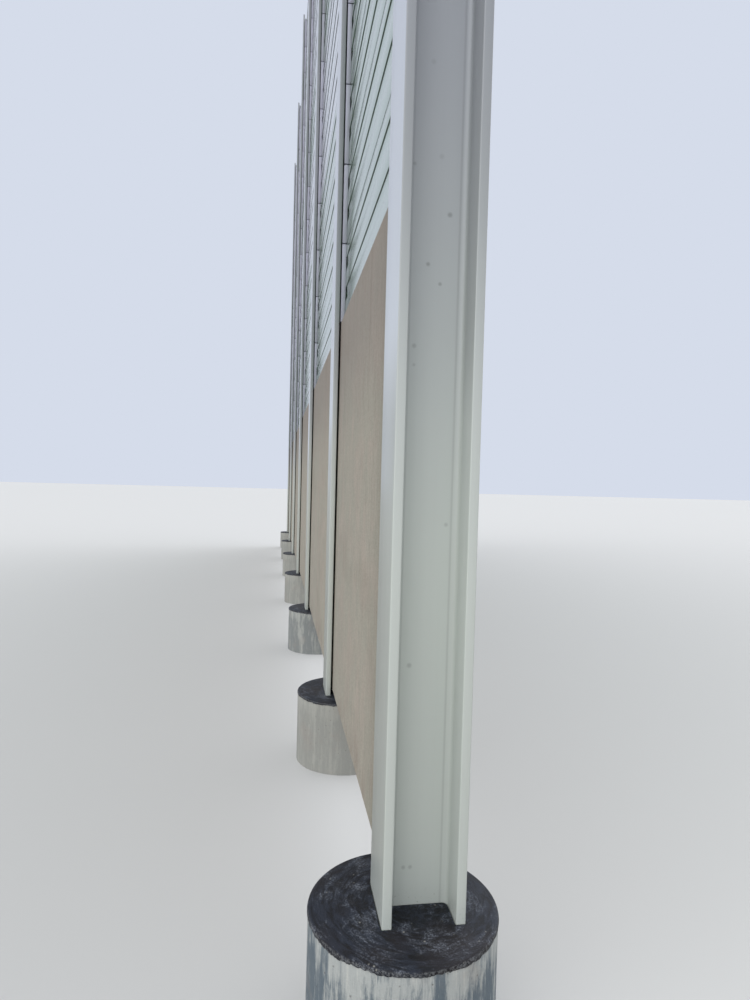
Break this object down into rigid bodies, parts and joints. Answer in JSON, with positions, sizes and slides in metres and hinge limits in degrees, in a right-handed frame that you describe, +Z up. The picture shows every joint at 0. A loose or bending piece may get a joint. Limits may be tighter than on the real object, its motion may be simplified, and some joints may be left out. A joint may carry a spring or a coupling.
{
  "type": "noise barrier section",
  "caption": "Tall noise barrier wall in bays: steel H posts on bored piles, concrete plinth panels below, banded green and grey ribbed aluminium cassettes above.",
  "frame": {"origin": "on the flat underside of the end pile, on the line of the posts, below the axis of post_1", "axes": "+X along the wall from post_1 to post_7, +Y out of the front face, +Z up"},
  "size_m": [17.9298, 0.6748, 10.9875],
  "materials": {
    "pile_concrete": "rough cast concrete with pale slurry runs",
    "bitumen_coat": "brushed bitumen, chalky scuffs",
    "post_paint": "satin pale grey-green coating",
    "plinth_concrete": "fine vertical texture, beige-brown concrete",
    "rubber": "matt black",
    "green_coating": "semi-gloss coil coating, green",
    "grey_coating": "semi-gloss coil coating, light grey",
    "end_cap_aluminium": "dull mill finish"
  },
  "bodies": {
    "root": {"bored_piles": "pile_concrete", "post_1": "post_paint", "post_2": "post_paint", "post_3": "post_paint", "post_4": "post_paint", "post_5": "post_paint", "post_6": "post_paint", "post_7": "post_paint", "plinth_panel_1": "plinth_concrete", "plinth_panel_2": "plinth_concrete", "plinth_panel_3": "plinth_concrete", "plinth_panel_4": "plinth_concrete", "plinth_panel_5": "plinth_concrete", "plinth_panel_6": "plinth_concrete", "bearing_pads": "rubber", "plinth_seals": "rubber", "cassette_seals": "rubber", "green_cassettes_1": "green_coating", "grey_cassettes_1": "grey_coating", "green_cassettes_2": "green_coating", "grey_cassettes_2": "grey_coating", "green_cassettes_3": "green_coating", "grey_cassettes_3": "grey_coating", "green_cassettes_4": "green_coating", "grey_cassettes_4": "grey_coating", "green_cassettes_5": "green_coating", "grey_cassettes_5": "grey_coating", "green_cassettes_6": "green_coating", "grey_cassettes_6": "grey_coating", "cassette_end_caps_1": "end_cap_aluminium", "cassette_end_caps_2": "end_cap_aluminium", "cassette_end_caps_3": "end_cap_aluminium", "cassette_end_caps_4": "end_cap_aluminium", "cassette_end_caps_5": "end_cap_aluminium", "cassette_end_caps_6": "end_cap_aluminium", "top_cappings": "grey_coating"}
  },
  "joints": []
}
